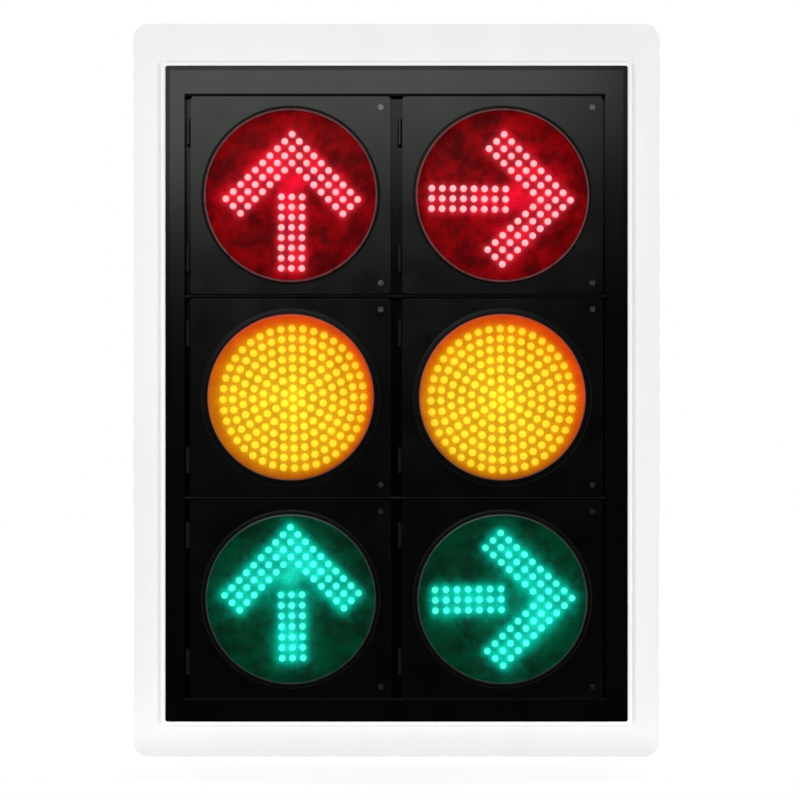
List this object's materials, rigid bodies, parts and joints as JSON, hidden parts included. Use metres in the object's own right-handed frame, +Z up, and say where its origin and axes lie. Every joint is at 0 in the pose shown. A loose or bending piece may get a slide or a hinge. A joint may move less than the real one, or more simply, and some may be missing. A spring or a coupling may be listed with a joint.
{
  "type": "traffic signal head",
  "caption": "Traffic signal head: black cabinet with hinged lamp doors, red and green LED arrows, amber LED balls and a white border board.",
  "frame": {"origin": "centre of the rear fixing pattern, on the rear face of the mounting bars", "axes": "-Y out of the lenses towards the road user, +Z up, +X to the viewer's right"},
  "size_m": [0.916, 0.159, 1.276],
  "materials": {
    "white_paint": "satin white paint",
    "white_trim": "bright white edging",
    "black_paint": "satin black powder coat",
    "door_plastic": "semi-gloss black plastic",
    "black_plastic": "matt black plastic",
    "grey_plastic": "light grey plastic",
    "seal_rubber": "black foam rubber",
    "zinc_steel": "zinc plated",
    "bright_steel": "bright stainless",
    "lens_red": "clear red tinted",
    "lens_amber": "clear amber tinted",
    "lens_green": "clear green tinted",
    "leds_red": "dark board with red LEDs",
    "leds_amber": "dark board with amber LEDs",
    "leds_green": "dark board with green LEDs"
  },
  "bodies": {
    "cabinet": {"border_board": "white_paint", "border_trim": "white_trim", "border_brackets": "zinc_steel", "cabinet_shell": "black_paint", "face_frame": "black_paint", "door_seals": "seal_rubber", "hinge_pins": "black_paint", "mounting_bars": "zinc_steel", "hex_bolts": "bright_steel", "terminal_rail": "zinc_steel", "terminal_block": "grey_plastic", "cable_gland": "black_plastic"},
    "red_left_door": {"door_red_left": "door_plastic", "lens_red_left": "lens_red", "gasket_red_left": "seal_rubber", "led_board_red_left": "leds_red", "case_red_left": "black_plastic", "screws_red_left": "bright_steel"},
    "red_left_latch_upper": {"latch_upper_red_left": "bright_steel"},
    "red_left_latch_lower": {"latch_lower_red_left": "bright_steel"},
    "red_right_door": {"door_red_right": "door_plastic", "lens_red_right": "lens_red", "gasket_red_right": "seal_rubber", "led_board_red_right": "leds_red", "case_red_right": "black_plastic", "screws_red_right": "bright_steel"},
    "red_right_latch_upper": {"latch_upper_red_right": "bright_steel"},
    "red_right_latch_lower": {"latch_lower_red_right": "bright_steel"},
    "amber_left_door": {"door_amber_left": "door_plastic", "lens_amber_left": "lens_amber", "gasket_amber_left": "seal_rubber", "led_board_amber_left": "leds_amber", "case_amber_left": "black_plastic", "screws_amber_left": "bright_steel"},
    "amber_left_latch_upper": {"latch_upper_amber_left": "bright_steel"},
    "amber_left_latch_lower": {"latch_lower_amber_left": "bright_steel"},
    "amber_right_door": {"door_amber_right": "door_plastic", "lens_amber_right": "lens_amber", "gasket_amber_right": "seal_rubber", "led_board_amber_right": "leds_amber", "case_amber_right": "black_plastic", "screws_amber_right": "bright_steel"},
    "amber_right_latch_upper": {"latch_upper_amber_right": "bright_steel"},
    "amber_right_latch_lower": {"latch_lower_amber_right": "bright_steel"},
    "green_left_door": {"door_green_left": "door_plastic", "lens_green_left": "lens_green", "gasket_green_left": "seal_rubber", "led_board_green_left": "leds_green", "case_green_left": "black_plastic", "screws_green_left": "bright_steel"},
    "green_left_latch_upper": {"latch_upper_green_left": "bright_steel"},
    "green_left_latch_lower": {"latch_lower_green_left": "bright_steel"},
    "green_right_door": {"door_green_right": "door_plastic", "lens_green_right": "lens_green", "gasket_green_right": "seal_rubber", "led_board_green_right": "leds_green", "case_green_right": "black_plastic", "screws_green_right": "bright_steel"},
    "green_right_latch_upper": {"latch_upper_green_right": "bright_steel"},
    "green_right_latch_lower": {"latch_lower_green_right": "bright_steel"}
  },
  "joints": [
    {"name": "red_left_hinge", "type": "hinge", "parent": "cabinet", "child": "red_left_door", "pos_m": [-0.36126, -0.14294, 0.344], "axis": [0, 0, -1], "range_deg": [0, 110]},
    {"name": "red_left_turn_upper", "type": "hinge", "parent": "red_left_door", "child": "red_left_latch_upper", "pos_m": [-0.0275, -0.145, 0.496], "axis": [0, -1, 0], "range_deg": [0, 90]},
    {"name": "red_left_turn_lower", "type": "hinge", "parent": "red_left_door", "child": "red_left_latch_lower", "pos_m": [-0.0275, -0.145, 0.192], "axis": [0, 1, 0], "range_deg": [0, 90]},
    {"name": "red_right_hinge", "type": "hinge", "parent": "cabinet", "child": "red_right_door", "pos_m": [0.00574, -0.14294, 0.344], "axis": [0, 0, -1], "range_deg": [0, 110]},
    {"name": "red_right_turn_upper", "type": "hinge", "parent": "red_right_door", "child": "red_right_latch_upper", "pos_m": [0.3395, -0.145, 0.496], "axis": [0, -1, 0], "range_deg": [0, 90]},
    {"name": "red_right_turn_lower", "type": "hinge", "parent": "red_right_door", "child": "red_right_latch_lower", "pos_m": [0.3395, -0.145, 0.192], "axis": [0, 1, 0], "range_deg": [0, 90]},
    {"name": "amber_left_hinge", "type": "hinge", "parent": "cabinet", "child": "amber_left_door", "pos_m": [-0.36126, -0.14294, -0.006], "axis": [0, 0, -1], "range_deg": [0, 110]},
    {"name": "amber_left_turn_upper", "type": "hinge", "parent": "amber_left_door", "child": "amber_left_latch_upper", "pos_m": [-0.0275, -0.145, 0.146], "axis": [0, -1, 0], "range_deg": [0, 90]},
    {"name": "amber_left_turn_lower", "type": "hinge", "parent": "amber_left_door", "child": "amber_left_latch_lower", "pos_m": [-0.0275, -0.145, -0.158], "axis": [0, 1, 0], "range_deg": [0, 90]},
    {"name": "amber_right_hinge", "type": "hinge", "parent": "cabinet", "child": "amber_right_door", "pos_m": [0.00574, -0.14294, -0.006], "axis": [0, 0, -1], "range_deg": [0, 110]},
    {"name": "amber_right_turn_upper", "type": "hinge", "parent": "amber_right_door", "child": "amber_right_latch_upper", "pos_m": [0.3395, -0.145, 0.146], "axis": [0, -1, 0], "range_deg": [0, 90]},
    {"name": "amber_right_turn_lower", "type": "hinge", "parent": "amber_right_door", "child": "amber_right_latch_lower", "pos_m": [0.3395, -0.145, -0.158], "axis": [0, 1, 0], "range_deg": [0, 90]},
    {"name": "green_left_hinge", "type": "hinge", "parent": "cabinet", "child": "green_left_door", "pos_m": [-0.36126, -0.14294, -0.356], "axis": [0, 0, -1], "range_deg": [0, 110]},
    {"name": "green_left_turn_upper", "type": "hinge", "parent": "green_left_door", "child": "green_left_latch_upper", "pos_m": [-0.0275, -0.145, -0.204], "axis": [0, -1, 0], "range_deg": [0, 90]},
    {"name": "green_left_turn_lower", "type": "hinge", "parent": "green_left_door", "child": "green_left_latch_lower", "pos_m": [-0.0275, -0.145, -0.508], "axis": [0, 1, 0], "range_deg": [0, 90]},
    {"name": "green_right_hinge", "type": "hinge", "parent": "cabinet", "child": "green_right_door", "pos_m": [0.00574, -0.14294, -0.356], "axis": [0, 0, -1], "range_deg": [0, 110]},
    {"name": "green_right_turn_upper", "type": "hinge", "parent": "green_right_door", "child": "green_right_latch_upper", "pos_m": [0.3395, -0.145, -0.204], "axis": [0, -1, 0], "range_deg": [0, 90]},
    {"name": "green_right_turn_lower", "type": "hinge", "parent": "green_right_door", "child": "green_right_latch_lower", "pos_m": [0.3395, -0.145, -0.508], "axis": [0, 1, 0], "range_deg": [0, 90]}
  ]
}
